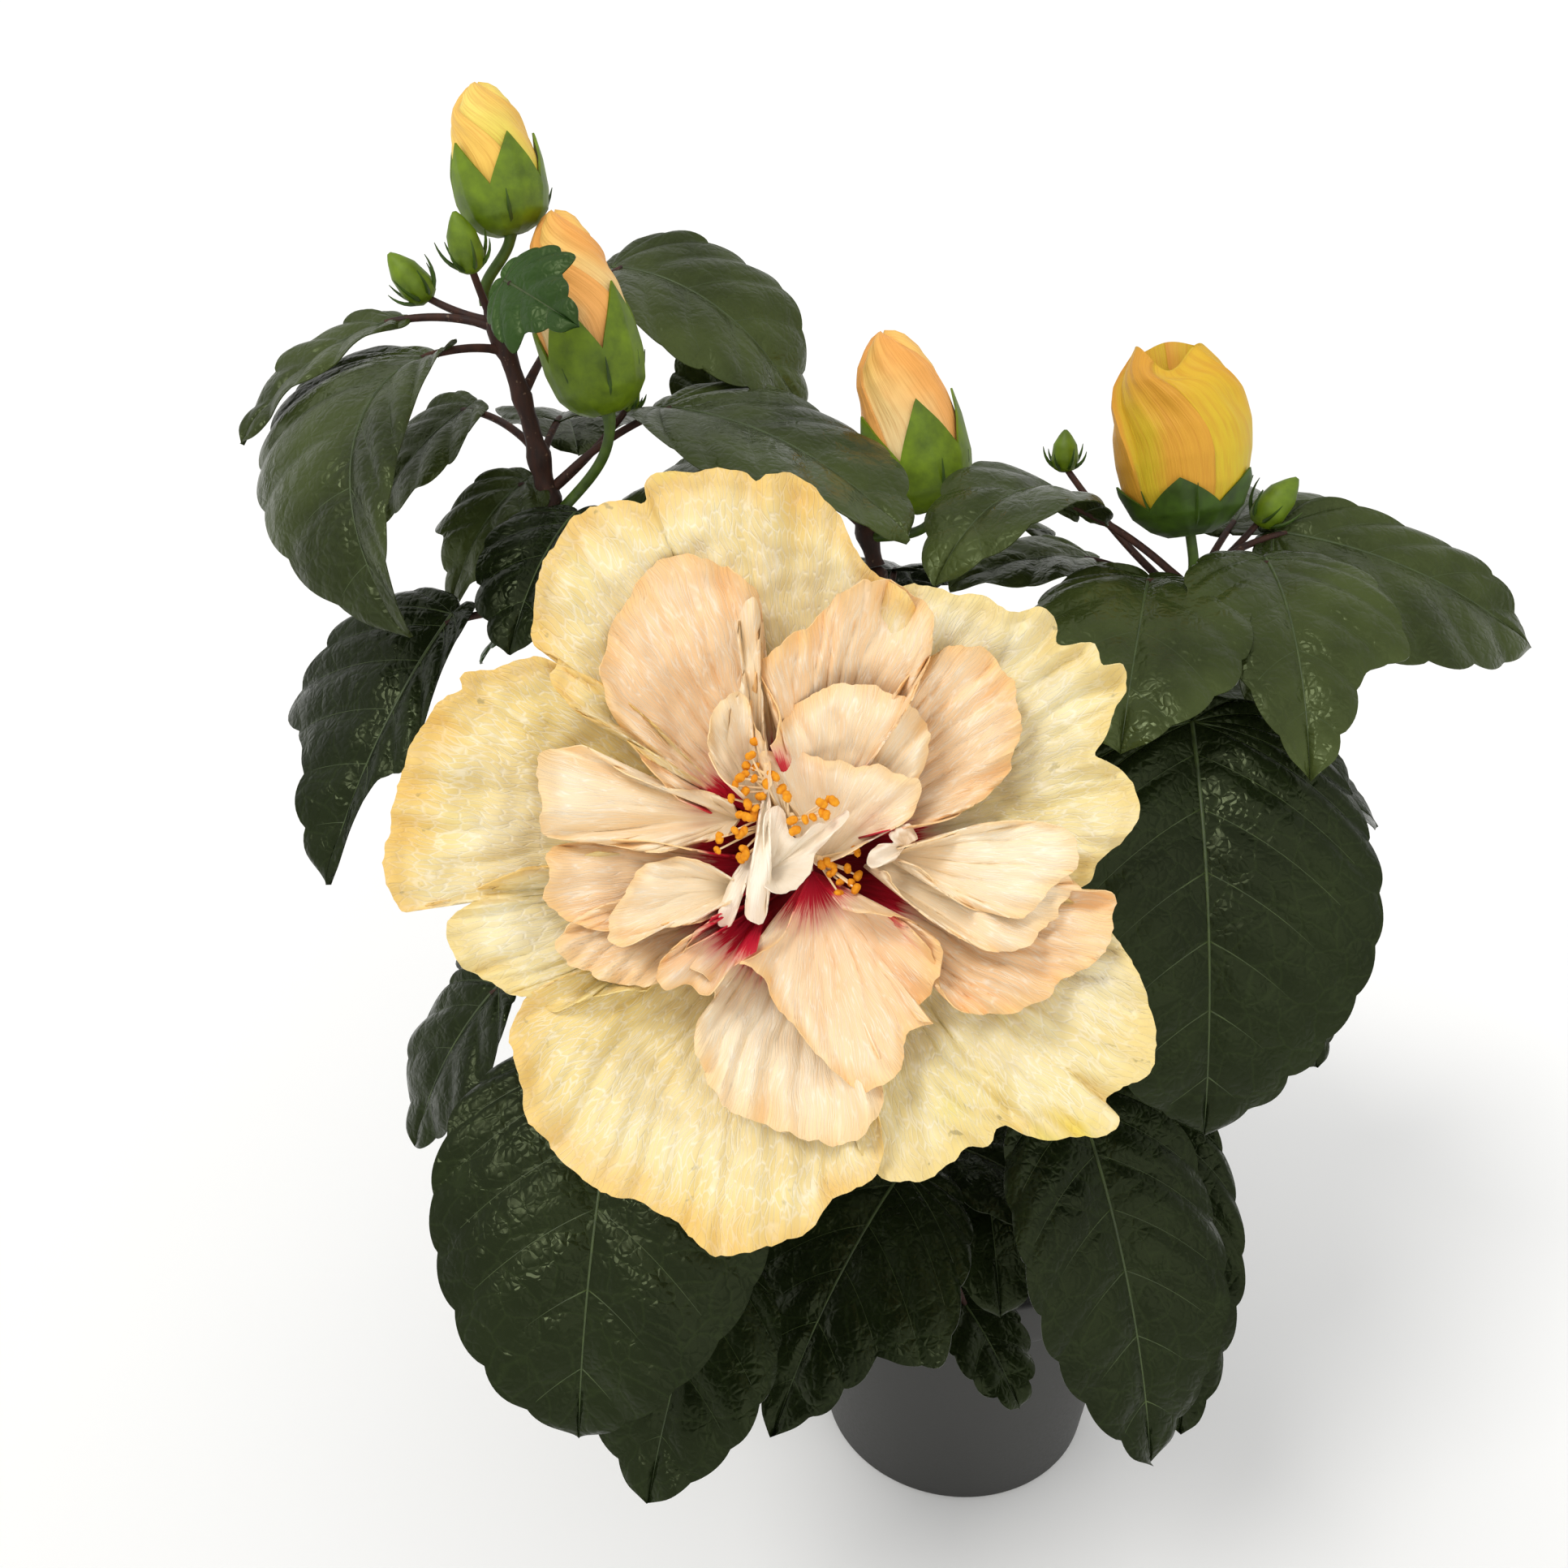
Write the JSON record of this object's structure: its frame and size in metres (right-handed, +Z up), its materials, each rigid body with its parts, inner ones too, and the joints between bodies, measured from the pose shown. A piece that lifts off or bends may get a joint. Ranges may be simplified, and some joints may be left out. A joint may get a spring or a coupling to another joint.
{
  "type": "potted double hibiscus",
  "caption": "Double-flowered hibiscus shrub in a small round nursery pot, with a large ruffled cream bloom, upright buds and broad toothed leaves.",
  "frame": {"origin": "centre of the pot's flat underside, level with the surface that it stands on", "axes": "+Z up along the pot's axis, -Y towards the side that the open bloom faces, +X to the right seen from that side"},
  "size_m": [0.3202, 0.3117, 0.4344],
  "materials": {
    "pot": "matt dark grey",
    "soil": "crumbly dark peat and bark",
    "bark": "rough red-brown bark",
    "leaf": "glossy dark green",
    "petal": "soft satin cream and peach",
    "bud": "soft satin yellow over a green calyx"
  },
  "bodies": {
    "root": {"pot": "pot", "soil": "soil", "main_stem": "bark", "bough_left": "bark", "bough_middle": "bark", "bough_right": "bark", "bough_left_low": "bark", "bough_front": "bark", "bough_front_low": "bark", "bough_right_low": "bark", "bough_back_left": "bark", "bough_back_right": "bark", "bough_back_low": "bark", "bough_left_side": "bark", "bloom": "petal", "bud_left_top": "bud", "bud_left": "bud", "bud_middle": "bud", "bud_right": "bud", "foliage_left": "leaf", "foliage_middle": "leaf", "foliage_right": "leaf", "foliage_left_low": "leaf", "foliage_front_low": "leaf", "foliage_right_low": "leaf", "foliage_back_left": "leaf", "foliage_back_right": "leaf", "foliage_back_low": "leaf", "foliage_left_side": "leaf"}
  },
  "joints": []
}
